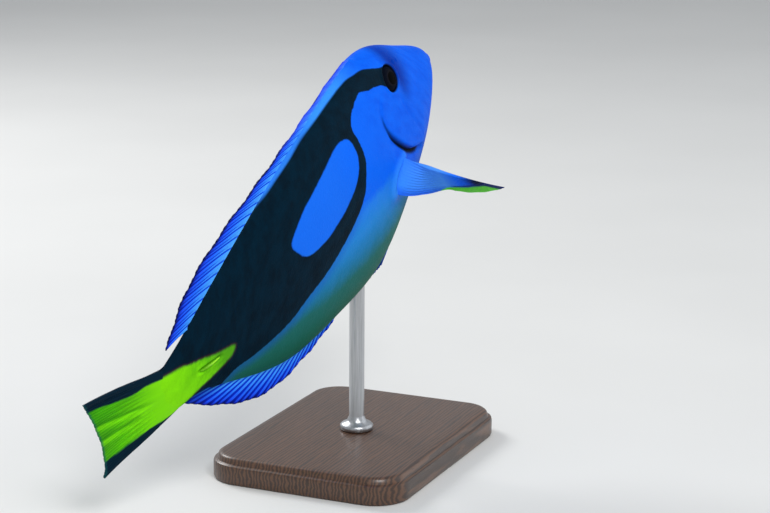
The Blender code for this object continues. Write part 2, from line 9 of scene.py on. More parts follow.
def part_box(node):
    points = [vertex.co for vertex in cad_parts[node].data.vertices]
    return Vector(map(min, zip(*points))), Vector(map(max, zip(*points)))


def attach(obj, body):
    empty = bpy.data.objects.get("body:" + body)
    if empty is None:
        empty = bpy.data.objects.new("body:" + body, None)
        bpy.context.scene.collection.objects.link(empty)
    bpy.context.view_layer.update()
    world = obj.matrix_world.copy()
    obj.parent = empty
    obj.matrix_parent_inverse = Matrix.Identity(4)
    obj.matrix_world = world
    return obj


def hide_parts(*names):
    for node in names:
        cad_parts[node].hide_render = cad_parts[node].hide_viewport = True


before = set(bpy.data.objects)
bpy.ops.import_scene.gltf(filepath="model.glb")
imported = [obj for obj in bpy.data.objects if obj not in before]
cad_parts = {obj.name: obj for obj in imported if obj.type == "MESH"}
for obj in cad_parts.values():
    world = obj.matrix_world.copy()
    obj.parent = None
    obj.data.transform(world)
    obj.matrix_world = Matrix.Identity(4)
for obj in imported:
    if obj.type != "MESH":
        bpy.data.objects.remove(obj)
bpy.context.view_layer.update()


# The fish is laid out straight, snout at 0 and tail to -X, then bent and lifted onto its rod.
# Shares are of the standard length.
fish = {
    "length": .200, "climb": math.radians(33.2), "place": (-.02997488, 0, .11027117), "middle": .5,
    "tailTurn": math.radians(28.3), "tailFrom": .30, "tailTo": 1.08,
    "headTurn": math.radians(7), "headFrom": .36,
    "back": ((0, -.008), (.012, .0205), (.045, .053), (.10, .0995), (.19, .168), (.30, .200),
             (.45, .216), (.60, .2095), (.75, .169), (.88, .104), (.95, .062), (1.0, .036)),
    "belly": ((0, -.008), (.012, -.042), (.045, -.086), (.10, -.150), (.20, -.202), (.32, -.233),
              (.45, -.239), (.60, -.2105), (.75, -.178), (.87, -.1145), (.94, -.0805), (1.0, -.077)),
    "width": ((0, 0), (.012, .0243), (.045, .043), (.10, .0545), (.19, .0675), (.30, .0735),
              (.42, .0715), (.55, .061), (.70, .045), (.85, .0275), (.94, .0190), (1.0, .0125)),
}
unit = fish["length"]


def naturalLine(points, blunt=False):
    place, value = (np.array(column, float) for column in zip(*points))
    along = np.sqrt(place) if blunt else place
    step, count = np.diff(along), len(along)
    system, goal = np.eye(count), np.zeros(count)
    for i in range(1, count - 1):
        system[i, i - 1:i + 2] = step[i - 1], 2 * (step[i - 1] + step[i]), step[i]
        goal[i] = 6 * ((value[i + 1] - value[i]) / step[i] - (value[i] - value[i - 1]) / step[i - 1])
    bow = np.linalg.solve(system, goal)

    def at(where):
        t = np.clip(np.sqrt(np.maximum(where, 0)) if blunt else where, along[0], along[-1])
        i = np.clip(np.searchsorted(along, t) - 1, 0, count - 2)
        a, b = (along[i + 1] - t) / step[i], (t - along[i]) / step[i]
        bend = (a**3 - a) * bow[i] + (b**3 - b) * bow[i + 1]
        return a * value[i] + b * value[i + 1] + bend * step[i]**2 / 6

    return at


backAt, bellyAt, widthAt = (naturalLine(fish[line], blunt=True) for line in ("back", "belly", "width"))


def ease(value, low=0.0, high=1.0):
    t = np.clip((np.asarray(value, float) - low) / (high - low), 0, 1)
    return t * t * (3 - 2 * t)


def bell(distance, size):
    return np.exp(-(np.asarray(distance) / size)**2)


def soften(distance, size):  # 0 below, 1 above, over about four sizes
    return 1 / (1 + np.exp(-np.clip(np.asarray(distance) / size, -40, 40)))


def sideAt(place, height):
    top, bottom = backAt(place), bellyAt(place)
    reach = np.clip((height - (top + bottom) / 2) / np.maximum((top - bottom) / 2, 1e-9), -1, 1)
    return widthAt(place) * (1 - reach**2)**np.where(reach < 0, .46, .52)


def straight(place, side, height):
    return np.stack(np.broadcast_arrays(-np.asarray(place, float), side, height), -1) * unit


marks = np.linspace(-.1, 1.4, 601)
turnAt = fish["tailTurn"] * ease(marks, fish["tailFrom"], fish["tailTo"])
turnAt += fish["headTurn"] * ease((fish["headFrom"] - marks) / fish["headFrom"])
midTurn = (turnAt[1:] + turnAt[:-1]) / 2
spineX = np.concatenate([[0], np.cumsum(-np.cos(midTurn) * np.diff(marks) * unit)])
spineY = np.concatenate([[0], np.cumsum(np.sin(midTurn) * np.diff(marks) * unit)])
spineX -= np.interp(fish["middle"], marks, spineX)
spineY -= np.interp(fish["middle"], marks, spineY)


def swimming(points):  # from the straight layout to where the fish swims
    points = np.asarray(points, float)
    place = -points[..., 0] / unit
    here = np.interp(place, marks, turnAt)
    x = np.interp(place, marks, spineX) + points[..., 1] * np.sin(here)
    y = np.interp(place, marks, spineY) + points[..., 1] * np.cos(here)
    z = points[..., 2]
    c, s = math.cos(fish["climb"]), math.sin(fish["climb"])
    return np.stack([c * x - s * z, y, s * x + c * z], -1) + np.array(fish["place"])


def meshPiece(name, points, faces, fields=None):
    mesh = bpy.data.meshes.new(name)
    mesh.from_pydata(np.asarray(points).reshape(-1, 3).tolist(), [], faces)
    for label, values in (fields or {}).items():
        values = np.asarray(values, np.float32)
        kind, key = ("FLOAT_VECTOR", "vector") if values.ndim == 2 else ("FLOAT", "value")
        mesh.attributes.new(label, kind, "POINT").data.foreach_set(key, values.ravel())
    mesh.shade_smooth()
    mesh.validate()
    piece = bpy.data.objects.new(name, mesh)
    bpy.context.collection.objects.link(piece)
    return piece


def outwards(piece):  # one closed surface: all normals out
    shaped = bmesh.new()
    shaped.from_mesh(piece.data)
    bmesh.ops.recalc_face_normals(shaped, faces=shaped.faces)
    shaped.to_mesh(piece.data)
    shaped.free()
    return piece


def ringFaces(rings, around):  # quads between neighbouring rings of points, and the points' numbers
    grid = np.arange(rings * around).reshape(rings, around)
    a, b = grid[:-1], grid[1:]
    return grid, np.stack([a, np.roll(a, -1, 1), np.roll(b, -1, 1), b], -1).reshape(-1, 4).tolist()


def tipFaces(ring, tip, flip=False):  # a fan of triangles from a ring to one point
    pairs = zip(ring, [*ring[1:], ring[0]])
    return [(tip, here, after) if flip else (tip, after, here) for here, after in pairs]


def dress(piece, material, slot, *nodes):
    piece.data.materials.append(material)
    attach(piece, "root")
    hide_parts(*nodes)


class Wire:  # a socket that reads as a number in the shader maths below
    def __init__(self, tree, socket=None):
        self.tree, self.socket = tree, socket

    def add(self, kind, settings=None, inputs=None, out=0):
        node = self.tree.nodes.new(kind)
        for name, value in (settings or {}).items():
            if name == "stops":
                stops = node.color_ramp.elements
                while len(stops) < len(value):
                    stops.new(.5)
                for stop, (position, colour) in zip(stops, value):
                    stop.position, stop.color = position, (*colour, 1)
            else:
                setattr(node, name, value)
        for name, value in (inputs or {}).items():
            if isinstance(value, Wire):
                self.tree.links.new(value.socket, node.inputs[name])
            else:
                node.inputs[name].default_value = value
        return Wire(self.tree, node.outputs[out])

    def maths(self, operation, *values):
        return self.add("ShaderNodeMath", {"operation": operation}, dict(enumerate(values)))

    def __add__(self, other):
        return self.maths("ADD", self, other)

    def __radd__(self, other):
        return self.maths("ADD", other, self)

    def __sub__(self, other):
        return self.maths("SUBTRACT", self, other)

    def __rsub__(self, other):
        return self.maths("SUBTRACT", other, self)

    def __mul__(self, other):
        return self.maths("MULTIPLY", self, other)

    def __rmul__(self, other):
        return self.maths("MULTIPLY", other, self)

    def __truediv__(self, other):
        return self.maths("DIVIDE", self, other)

    def __rtruediv__(self, other):
        return self.maths("DIVIDE", other, self)

    def __neg__(self):
        return self.maths("MULTIPLY", self, -1)


def field(wire, name, vector=False):
    return wire.add("ShaderNodeAttribute", {"attribute_name": name}, out=1 if vector else 2)


def step(value, low, high, start=0.0, end=1.0):
    return value.add("ShaderNodeMapRange", {"interpolation_type": "SMOOTHSTEP"},
                     {0: value, 1: low, 2: high, 3: start, 4: end})


def mixed(share, first, second, way="MIX"):
    first, second = (v if isinstance(v, Wire) else (*v, 1) for v in (first, second))
    return share.add("ShaderNodeMix", {"data_type": "RGBA", "blend_type": way, "clamp_factor": True},
                     {0: share, 6: first, 7: second}, out=2)


def ramp(along, stops):
    return along.add("ShaderNodeValToRGB", {"stops": [(spot, srgb(*colour)) for spot, colour in stops]},
                     {"Fac": along})


def noise(wire, where, scale, detail=3, rough=.5):
    return wire.add("ShaderNodeTexNoise", {}, {"Vector": where, "Scale": scale, "Detail": detail,
                                               "Roughness": rough})


def objectPlace(w):
    return w.add("ShaderNodeTexCoord", out=3)


def stretched(w, scale):
    return w.add("ShaderNodeMapping", {}, {"Vector": objectPlace(w), "Scale": scale})


def bumped(height, strength, distance, below=None):
    inputs = {"Height": height, "Strength": strength, "Distance": distance}
    if below:
        inputs["Normal"] = below
    return height.add("ShaderNodeBump", {}, inputs)


def finish(name, paint, **constants):  # paint gets a Wire and gives {socket: Wire}
    material = bpy.data.materials.new(name)
    material.use_nodes = True
    tree = material.node_tree
    shader = tree.nodes["Principled BSDF"]
    for socket, value in constants.items():
        shader.inputs[socket.replace("_", " ")].default_value = value
    for socket, wire in paint(Wire(tree)).items():
        tree.links.new(wire.socket, shader.inputs[socket])
    return material


def srgb(red, green, blue):
    shares = (v / 255 for v in (red, green, blue))
    return tuple(v / 12.92 if v <= .04045 else ((v + .055) / 1.055)**2.4 for v in shares)


# The skin is one surface from the lips to the tail fin's root.
skin = {
    "rings": 378, "around": 264, "headShare": .57, "headEnd": .34, "crowding": 1.45, "rootTail": 1.056,
    "eye": (.212, .112), "eyeRadius": .0056, "eyeBulge": .0013, "eyeDepth": .0026,
    "nostrils": ((.170, .119, .0009), (.154, .110, .0006)),
    "gill": ((.232, .300), (.236, .160), (.252, .124), (.286, .108), (.309, .080), (.304, .038),
             (.287, .000), (.264, -.035), (.238, -.062), (.209, -.081), (.180, -.094), (.158, -.118),
             (.148, -.170), (.145, -.300)),
    "mouth": -.014, "mouthCorner": .017, "mouthTurn": 82,
    "socket": .0020, "gillGape": .0011, "gillLift": .0011, "gillGroove": .0017,
    "lipHeight": .00105, "mouthDepth": .0030, "finSwell": .0012,
    "finRoot": ((.287, -.036), (.325, -.036), (.352, -.052), (.362, -.070), (.352, -.080)),
    "blade": ((.895, -.018), (.943, -.018)),
    "dorsal": (.256, .925), "anal": (.505, .925),
    "preopercle": ((.150, -.085), (.178, -.050), (.200, -.005), (.212, .040), (.214, .075)),
    "flankLine": ((.285, .135), (.36, .166), (.48, .174), (.62, .150), (.76, .096), (.88, .030),
                  (.93, .000)),
}
# places of the markings on the flank, both sides alike
markings = {
    "band": ((.190, .122), (.192, .130), (.224, .149), (.264, .178), (.296, .190), (.319, .1975),
             (.345, .2025), (.368, .2060), (.417, .2112), (.48, .2148), (.524, .2150), (.569, .2108),
             (.615, .2052), (.655, .1978), (.686, .1915), (.73, .180), (.772, .166), (.813, .149),
             (.846, .134), (.89, .118), (1.10, .14), (1.10, -.14), (.96, -.114), (.915, -.101),
             (.888, -.085), (.868, -.077), (.835, -.078), (.792, -.077), (.732, -.071), (.687, -.058),
             (.655, -.051), (.624, -.046), (.588, -.037), (.558, -.028), (.530, -.020), (.503, -.010),
             (.479, .000), (.462, .010), (.446, .023), (.435, .039), (.423, .055), (.413, .072),
             (.408, .094), (.406, .115), (.405, .130), (.404, .145), (.396, .154), (.379, .163),
             (.360, .166), (.339, .168), (.322, .167), (.299, .152), (.274, .140), (.250, .124),
             (.238, .105), (.222, .092), (.204, .088), (.19, .103)),
    "oval": ((.437, .148), (.459, .156), (.482, .155), (.518, .148), (.545, .142), (.596, .129),
             (.616, .122), (.636, .111), (.656, .099), (.667, .089), (.670, .078), (.664, .061),
             (.653, .041), (.637, .030), (.613, .026), (.582, .025), (.552, .030), (.524, .035),
             (.502, .042), (.476, .051), (.455, .064), (.437, .082), (.428, .100), (.426, .120),
             (.427, .136)),
    "wedge": ((.859, -.017), (.874, -.011), (.892, -.007), (.913, -.001), (.931, .006), (.957, .012),
              (.972, .0175), (1.0, .0190), (1.03, .0228), (1.08, .030), (1.08, -.095), (1.0, -.074),
              (.982, -.070), (.956, -.060), (.93, -.053), (.914, -.048), (.896, -.043), (.885, -.039),
              (.870, -.033)),
}


def smoothLoop(points, count=8, closed=True):  # a rounded line through the points
    p = np.array(points, float)
    out, n = [], len(p)
    for i in range(n if closed else n - 1):
        a, b, c, d = (p[(i + k) % n] if closed else p[min(max(i + k, 0), n - 1)] for k in (-1, 0, 1, 2))
        for t in np.linspace(0, 1, count, endpoint=False):
            out.append(.5 * (2 * b + (c - a) * t + (2 * a - 5 * b + 4 * c - d) * t**2
                             + (3 * b - a - 3 * c + d) * t**3))
    if not closed:
        out.append(p[-1])
    return np.array(out)


def toLine(place, height, line, closed=False):
    # distance in metres from points of the side view to a line, which side of it, and how far along
    p = np.stack([place, height], -1).reshape(-1, 2) * unit
    line = np.asarray(line) * unit
    starts, ends = line, np.roll(line, -1, 0)
    if not closed:
        starts, ends = line[:-1], line[1:]
    best, side, along = np.full(len(p), 1e9), np.zeros(len(p)), np.zeros(len(p))
    inside = np.zeros(len(p), bool)
    for i, (a, b) in enumerate(zip(starts, ends)):
        d = b - a
        t = np.clip(((p - a) @ d) / max(d @ d, 1e-18), 0, 1)
        gap = p - a - t[:, None] * d
        far = np.hypot(gap[:, 0], gap[:, 1])
        near = far < best
        best[near], along[near] = far[near], (i + t[near]) / len(starts)
        side[near] = np.sign(d[0] * gap[near, 1] - d[1] * gap[near, 0])
        if closed:
            cross = (a[1] > p[:, 1]) != (b[1] > p[:, 1])
            with np.errstate(divide="ignore", invalid="ignore"):
                x = a[0] + (p[:, 1] - a[1]) * (b[0] - a[0]) / (b[1] - a[1])
            inside ^= cross & (p[:, 0] < x)
    if closed:
        return np.where(inside, best, -best).reshape(place.shape)
    shape = place.shape
    return best.reshape(shape), side.reshape(shape), along.reshape(shape)


def flankGrid():
    # the rings lie closer together over the head, and closest at the lips
    t = np.linspace(0, 1, skin["rings"] + 1)[1:]
    share, headEnd = skin["headShare"], skin["headEnd"]
    ahead = headEnd * (t / share)**skin["crowding"]
    rest = headEnd + (skin["rootTail"] - headEnd) * ((t - share) / (1 - share))
    place = np.where(t <= share, ahead, rest)
    turns = np.linspace(0, 2 * math.pi, skin["around"], endpoint=False)
    place = np.repeat(place[:, None], skin["around"], 1)
    capped = np.minimum(place, 1)
    past = np.clip((place - 1) / (skin["rootTail"] - 1), 0, 1)
    top = backAt(capped) - .012 * past**2
    bottom = bellyAt(capped) + .012 * past**2
    height = (top + bottom) / 2 + (top - bottom) / 2 * np.sin(turns)
    reach = np.sin(turns) + 0 * place
    half = widthAt(capped) * (1 - .12 * past) * (1 - .90 * ease(past))
    side = half * np.abs(np.cos(turns))**np.where(reach < 0, .92, 1.04) * np.sign(np.cos(turns))
    side = np.where(np.abs(np.cos(turns)) < 1e-9, 0, side)
    return place, side, height


def relief(place, side, height):  # how far the skin stands proud of the plain body, in metres
    def at(point):
        return np.hypot(place - point[0], height - point[1]) * unit

    def toCurve(name, fine=8):
        return toLine(place, height, smoothLoop(skin[name], fine, closed=False))

    out = np.zeros_like(place)
    # the eye's rim, its socket and the swell about it
    radius = skin["eyeRadius"]
    fromEye = at(skin["eye"])
    out += .00045 * bell(fromEye - radius * 1.12, .0007)
    out -= skin["socket"] * soften(radius * .90 - fromEye, .00022)
    out += .0004 * bell(fromEye, .013) * soften(fromEye - radius, .0006)
    # the gill cover's edge, the groove behind it and the slit where it gapes
    far, which, along = toCurve("gill", 10)
    behind = far * which  # positive behind the gill cover
    if np.mean(behind[place > .4]) < 0:
        behind = -behind
    strong = ease(along, .15, .27) * (1 - ease(along, .76, .84)) * (.22 + .78 * ease(along, .32, .44))
    gape = skin["gillGape"] * ease(along, .29, .56) * (1 - ease(along, .67, .785))
    behind = behind + gape
    cover = soften(-behind, .00022) * bell(np.minimum(behind, 0), .012)
    groove = soften(behind, .00022) * bell(behind, .0019)
    out += strong * (skin["gillLift"] * cover - skin["gillGroove"] * groove)
    slit = ease(along, .27, .32) * (1 - ease(along, .755, .79))
    slit = slit * soften(behind + .0001, .00012) * soften(.0003 + 2 * gape - behind, .00016)
    far, _, along = toCurve("preopercle")
    out -= .00028 * bell(far, .0011) * ease(along, 0, .2) * (1 - ease(along, .8, 1))
    for x, z, size in skin["nostrils"]:
        out += .0002 * bell(at((x, z)) - size * 1.5, size * .6) - .0011 * bell(at((x, z)), size * .8)
    # lips and the line between them
    ahead = (skin["mouthCorner"] - place) * unit
    turn = np.degrees(np.arctan2(np.abs(side) * unit, ahead))
    opened = np.cos(np.clip(turn / skin["mouthTurn"], 0, 1) * math.pi / 2)
    off = (height - skin["mouth"]) * unit + .0010 * (1 - opened)
    near = (place < .06) & (turn < 100)
    lips = bell(off - .00125, .00085) * 1.05 + bell(off + .0012, .00080)
    lip = np.where(near, opened**.55 * lips, 0)
    parting = np.where(near, opened**.25 * bell(off, .00030), 0)
    out += skin["lipHeight"] * lip - skin["mouthDepth"] * parting
    # fleshy roots of the fins
    for (start, end), sign in ((skin["dorsal"], 1), (skin["anal"], -1)):
        along = ease(place, start - .012, start + .006) * (1 - ease(place, end - .004, end + .012))
        near = np.where(sign * height > 0, 1.0, 0.0)
        out += skin["finSwell"] * along * near * bell(side * unit, .0014)
    fromRoot = toCurve("finRoot")[0]
    out += .0011 * bell(fromRoot, .0026) + .0005 * bell(fromRoot, .007)
    far, _, _ = toLine(place, height, np.array(skin["blade"]))
    out += .0004 * bell(far - .0018, .0008) - .0012 * bell(far, .0010)
    far, _, along = toCurve("flankLine")
    out -= .00010 * bell(far, .0006) * ease(along, 0, .05)
    # a faint swell over the shoulder and cheek
    out += .0006 * bell(at((.165, -.03)), .016) + .0004 * bell(at((.37, .03)), .02)
    return out, {"slit": slit, "parting": parting, "fromRoot": fromRoot, "fromEye": fromEye}


def makeSkin():
    place, side, height = flankGrid()
    base = straight(place, side, height)
    along = np.gradient(base, axis=0)
    around = np.roll(base, -1, 1) - np.roll(base, 1, 1)
    normal = np.cross(around, along)
    normal /= np.linalg.norm(normal, axis=2, keepdims=True) + 1e-15
    centre = straight(place, 0, (backAt(np.minimum(place, 1)) + bellyAt(np.minimum(place, 1))) / 2)
    if np.mean(np.sum(normal * (base - centre), -1)) < 0:
        normal = -normal
    lift, fields = relief(place, side, height)
    lift *= ease(place, .0002, .002)
    points = base + normal * lift[..., None]
    rows, cols = place.shape
    gaps = np.linalg.norm(np.diff(base, axis=1), axis=2)
    arc = np.concatenate([[0 * place[:, 0]], np.cumsum(gaps, 1).T]).T
    for name, line in markings.items():
        fields[name] = toLine(place, height, smoothLoop(line, 6), closed=True)
    fields["belowBack"] = (backAt(np.minimum(place, 1)) - height) * unit
    fields["place"], fields["high"] = place, height
    tip = straight(0, 0, skin["mouth"]) + np.array([.0002, 0, 0])
    end = points[-1].mean(0)
    allPoints = np.concatenate([points.reshape(-1, 3), [tip], [end]])
    grid, faces = ringFaces(rows, cols)
    faces += tipFaces(grid[0].tolist(), rows * cols)
    faces += tipFaces(grid[-1].tolist(), rows * cols + 1, flip=True)
    flat = {label: np.append(values, [values[0, 0], values[-1, -1]]) for label, values in fields.items()}
    lay = np.stack([place * unit, arc, 0 * arc], -1).reshape(-1, 3)  # the skin laid flat
    flat["lay"] = np.concatenate([lay, [[0, 0, 0], [skin["rootTail"] * unit, 0, 0]]])
    return outwards(meshPiece("fish_skin", swimming(allPoints), faces, flat))


paints = {
    "blue": srgb(10, 98, 236), "deepBlue": srgb(5, 74, 216),
    "black": srgb(3, 30, 46), "blackWarm": srgb(4, 21, 33),
    "yellow": srgb(120, 216, 16), "yellowDark": srgb(84, 176, 14),
    # down the rear of the flank, from the band to the belly: partly the belly's own paler colour, partly
    # painted shade and greenish light where the body turns away from the light
    "flank": ((0, (10, 98, 236)), (.10, (32, 122, 226)), (.28, (34, 128, 208)), (.52, (28, 116, 166)),
              (.72, (30, 100, 96)), (1, (26, 92, 76))),
    "scales": 1150, "scaleBump": .30, "grain": 1500,
}


def skinPaint(w):
    lay = field(w, "lay", vector=True)
    band, oval, wedge = field(w, "band"), field(w, "oval"), field(w, "wedge")
    place, high = field(w, "place"), field(w, "high")
    mottle = noise(w, lay, 160, 4, .6)
    grain = noise(w, lay, paints["grain"], 2, .6)
    fray = (noise(w, lay, 420, 3, .6) - .5) * .0010 * step(field(w, "belowBack"), .001, .010)
    blue = mixed(step(mottle, .35, .75, 0, .6), paints["blue"], paints["deepBlue"])
    # behind the gills the lower flank pales to teal and then to a greenish grey under the belly, partly
    # its own paler colour and partly painted shade where the belly turns away from the light
    down = (place - .44) * .2 - high + (mottle - .5) * .03
    lower = ramp(down / .21, paints["flank"])
    chest = step(high, -.08, -.19) * .16
    blue = mixed(step(place + chest, .28, .41), blue, lower)
    # painted shade on the lower chest under the pectoral fin, where the body turns from the light
    blue = mixed(step(high, -.07, -.17) * step(place, .34, .24) * .65, blue, srgb(10, 66, 132))
    # the back pales beside the fin; the skin round the fleshy root of each side fin is painted lighter, a
    # painted highlight that offsets the shade where the fin leaves the body
    pale = step(field(w, "belowBack"), .0070, .0005) * step(place, .25, .38)
    blue = mixed(pale * .85, blue, srgb(56, 146, 246))
    # painted highlight around the side fin's root, against the shade line there
    blue = mixed(step(field(w, "fromRoot"), .0040, .0004) * .6, blue, srgb(56, 142, 250))
    blue = mixed(step(-band, .0060, .0000) * step(place, .44, .52) * .38, blue, srgb(16, 70, 180))
    # painted highlight: the blue oval inside the band is lightened against the shade that falls on it
    blue = mixed(step(oval, -.001, .001) * step(place, .40, .54) * .40, blue, srgb(30, 122, 255))
    shade = step(field(w, "fromEye"), .022, .006) * step(place, .214, .175) * step(high, .0, .06)
    blue = mixed(shade * .85, blue, srgb(3, 30, 130))
    black = mixed(step(mottle, .3, .75), paints["black"], paints["blackWarm"])
    dark = step(band + fray, -.0002, .0004) * (1 - step(oval + fray * .7, -.0004, .0004))
    gold = step(wedge + fray * 1.1, -.0009, .0008)
    yellow = mixed(step(mottle, .3, .8), paints["yellow"], paints["yellowDark"])
    # the wedge starts green; where the tail stem is thinnest its yellow is lightened by a painted
    # highlight
    yellow = mixed(step(place - high * .5, .965, .875) * .8, yellow, srgb(66, 142, 26))
    # painted highlight towards the end of the tail stem
    yellow = mixed(step(place, .94, 1.0) * .6, yellow, srgb(132, 226, 15))
    rust = step(wedge + fray * 1.1, -.0016, -.0006) * (1 - gold)  # a thin reddish edge to the yellow
    colour = mixed(dark, blue, black)
    colour = mixed(rust * .14, colour, srgb(120, 60, 20))
    colour = mixed(gold, colour, yellow)
    colour = mixed(step(grain, .35, .75, 0, .12), colour, (1, 1, 1), "SOFT_LIGHT")
    # painted shade in the gill slit, under the gaping gill cover
    colour = mixed(field(w, "slit"), colour, srgb(1, 6, 14))
    # painted shade in the line between the lips
    colour = mixed(field(w, "parting") * .9, colour, srgb(2, 6, 26))
    # painted shade in the eye's socket, round the eye
    colour = mixed(step(field(w, "fromEye"), .0060, .0054), colour, srgb(3, 6, 14))
    # tiny scales, rougher than they are raised
    cells = w.add("ShaderNodeTexVoronoi", {"feature": "SMOOTH_F1"},
                  {"Vector": lay, "Scale": paints["scales"], "Smoothness": .45, "Randomness": .75})
    coarse = bumped(noise(w, lay, 90, 3, .5), .12, .002)
    normal = bumped(cells * -1.0 + grain * .25, paints["scaleBump"], .00035, coarse)
    rough = .42 + (mottle - .5) * .16 + step(cells, .1, .7) * .10
    return {"Base Color": colour, "Roughness": rough, "Normal": normal}


print("skin")
skinFinish = finish("fishSkin", skinPaint, Coat_Weight=.01, Coat_Roughness=.25, Specular_IOR_Level=.02)
dress(makeSkin(), skinFinish, "skin_blue", "head", "torso", "hind_body", "tail_stem")


def skinSpot(place, height, left):
    sign, nudge = (1 if left else -1), .004
    spot = straight(place, sign * sideAt(place, height), height)
    behind = straight(place + nudge, sign * sideAt(place + nudge, height), height)
    above = straight(place, sign * sideAt(place, height + nudge), height + nudge)
    normal = np.cross(behind - spot, above - spot)
    normal /= np.linalg.norm(normal)
    if normal[1] * sign < 0:
        normal = -normal
    backward = (behind - spot) / np.linalg.norm(behind - spot)
    return spot, normal, backward


eyeLook = {"rings": 40, "around": 64, "pupil": .50, "ring": .60, "fade": .03, "irisEdge": .93}


def makeEye(name, left):
    spot, normal, backward = skinSpot(*skin["eye"], left)
    upward = np.cross(normal, backward)
    centre = spot + normal * (skin["eyeBulge"] - skin["eyeDepth"])
    rings, around = eyeLook["rings"], eyeLook["around"]
    points, radial = [], []
    for i in range(1, rings):
        lift = math.pi * i / rings
        for turn in np.linspace(0, 2 * math.pi, around, endpoint=False):
            flat, aside = math.sin(lift), math.cos(turn) * backward + math.sin(turn) * upward
            points.append(centre + math.cos(lift) * skin["eyeDepth"] * normal
                          + flat * skin["eyeRadius"] * aside)
            radial.append(flat if lift < math.pi / 2 else 2 - flat)
    grid, faces = ringFaces(rings - 1, around)
    faces += tipFaces(grid[0].tolist(), len(points))
    faces += tipFaces(grid[-1].tolist(), len(points) + 1, flip=True)
    points += [centre + skin["eyeDepth"] * normal, centre - skin["eyeDepth"] * normal]
    radial += [0, 2]
    piece = outwards(meshPiece(name, swimming(np.array(points)), faces, {"radial": radial}))
    dress(piece, eyeFinish, "eye", "eye_left" if left else "eye_right")


def eyePaint(w):
    radial = field(w, "radial")
    fleck = noise(w, objectPlace(w), 2600, 3, .6)
    iris = mixed(step(fleck, .3, .7), srgb(3, 8, 20), srgb(12, 16, 28))
    pupil, edge, fade = eyeLook["pupil"], eyeLook["ring"], eyeLook["fade"]
    ring = step(radial, pupil, pupil + fade) * step(radial, edge + fade, edge)
    colour = mixed(ring * .11, iris, srgb(58, 46, 30))
    colour = mixed(step(radial, pupil + .01, pupil - .01), colour, srgb(1, 1, 2))
    colour = mixed(step(radial, eyeLook["irisEdge"], 1.0), colour, srgb(2, 4, 12))
    return {"Base Color": colour, "Roughness": .06 + fleck * .04}


print("eyes")
eyeFinish = finish("eyeGlass", eyePaint, Coat_Weight=.06, Coat_Roughness=.06, Specular_IOR_Level=.0)
makeEye("fish_eye_left", True)
makeEye("fish_eye_right", False)


# Each fin is one closed vane, its rays raised on both faces.
def fanGrid(rays, look, start=0.0):  # across counts the rays, out runs from root to margin
    across = np.linspace(0, rays - 1, (rays - 1) * look["perRay"] + 1)
    return np.meshgrid(across, np.linspace(start, 1, look["rows"]), indexing="ij")


def vane(name, centre, half, fields, normal=None):
    if normal is None:
        normal = np.cross(np.gradient(centre, axis=0), np.gradient(centre, axis=1))
        normal /= np.linalg.norm(normal, axis=2, keepdims=True) + 1e-15
    cols, rows = half.shape
    both = np.concatenate([(centre + half[..., None] * normal).reshape(-1, 3),
                           (centre - half[..., None] * normal).reshape(-1, 3)])
    under = cols * rows
    grid = np.arange(under).reshape(cols, rows)
    upper = np.stack([grid[:-1, :-1], grid[1:, :-1], grid[1:, 1:], grid[:-1, 1:]], -1).reshape(-1, 4)
    lower = upper[:, ::-1] + under
    rim = [*grid[:, 0], *grid[-1, 1:], *grid[-2::-1, -1], *grid[0, -2:0:-1]]
    edge = [(b, a, under + a, under + b) for a, b in zip(rim, rim[1:] + rim[:1])]
    faces = upper.tolist() + lower.tolist() + [tuple(int(k) for k in q) for q in edge]
    doubled = {label: np.concatenate([v.reshape(-1), v.reshape(-1)]) for label, v in fields.items()}
    return outwards(meshPiece(name, swimming(both), faces, doubled))


def rayRidge(across, out, splitFrom=.45, spread=.22, width=.15):
    # 1 on a ray, 0 on the web; each soft ray parts in two towards its tip
    part = spread * ease(out, splitFrom, 1.0)
    off = across - np.round(across)
    narrow = width * (1 - .35 * out)
    return np.maximum(bell(off - part, narrow), bell(off + part, narrow))


def rayGrain(w, run):  # fine streaks along the rays
    where = w.add("ShaderNodeCombineXYZ", {}, {0: field(w, "across") * .004, 1: run, 2: 0.0})
    return where, noise(w, where, 900, 3, .6)


def jointed(w, where, streak, scale=420, distortion=.6, share=.4):  # each ray is a row of short joints
    joints = w.add("ShaderNodeTexWave", {"wave_type": "BANDS", "bands_direction": "Y"},
                   {"Vector": where, "Scale": scale, "Distortion": distortion, "Detail": 1})
    return bumped(joints * field(w, "ridge") + streak * share, .25, .0002)


medianLook = {
    "dorsal": {"span": (.256, .925), "spines": 9, "rays": 19, "up": 1,
               "margin": ((.256, .199), (.298, .214), (.353, .2235), (.415, .230), (.47, .2345),
                          (.524, .2365), (.575, .2355), (.621, .233), (.666, .229), (.707, .2235),
                          (.748, .216), (.789, .2055), (.827, .192), (.865, .175), (.90, .153),
                          (.93, .127), (.955, .100), (.985, .065), (1.02, .020)),
               "lean": ((.256, 38), (.40, 24), (.55, 17), (.70, 13), (.80, 6), (.87, -1), (.925, -8))},
    "anal": {"span": (.505, .925), "spines": 3, "rays": 24, "up": -1,
             "margin": ((.505, -.2335), (.55, -.2295), (.585, -.2262), (.62, -.2255), (.655, -.2255),
                        (.69, -.2243), (.739, -.223), (.766, -.2211), (.796, -.2166), (.827, -.2074),
                        (.855, -.1944), (.885, -.1754), (.912, -.1534), (.95, -.1199), (.977, -.0924),
                        (1.02, -.050)),
             "lean": ((.505, 40), (.62, 34), (.72, 24), (.78, 15), (.83, 6), (.88, -4), (.925, -15))},
    "perRay": 16, "rows": 50, "web": .00017, "ray": .00038, "bowed": .05,
    "webColours": ((0, (40, 124, 242)), (.14, (8, 66, 216)), (.50, (2, 42, 194)), (.82, (2, 30, 168)),
                   (.94, (3, 18, 110)), (1, (3, 9, 58))),
    "rayColours": ((0, (80, 170, 255)), (.34, (58, 146, 252)), (.62, (36, 108, 248)),
                   (.84, (30, 80, 240)), (.95, (16, 40, 176)), (1, (4, 12, 70))),
}


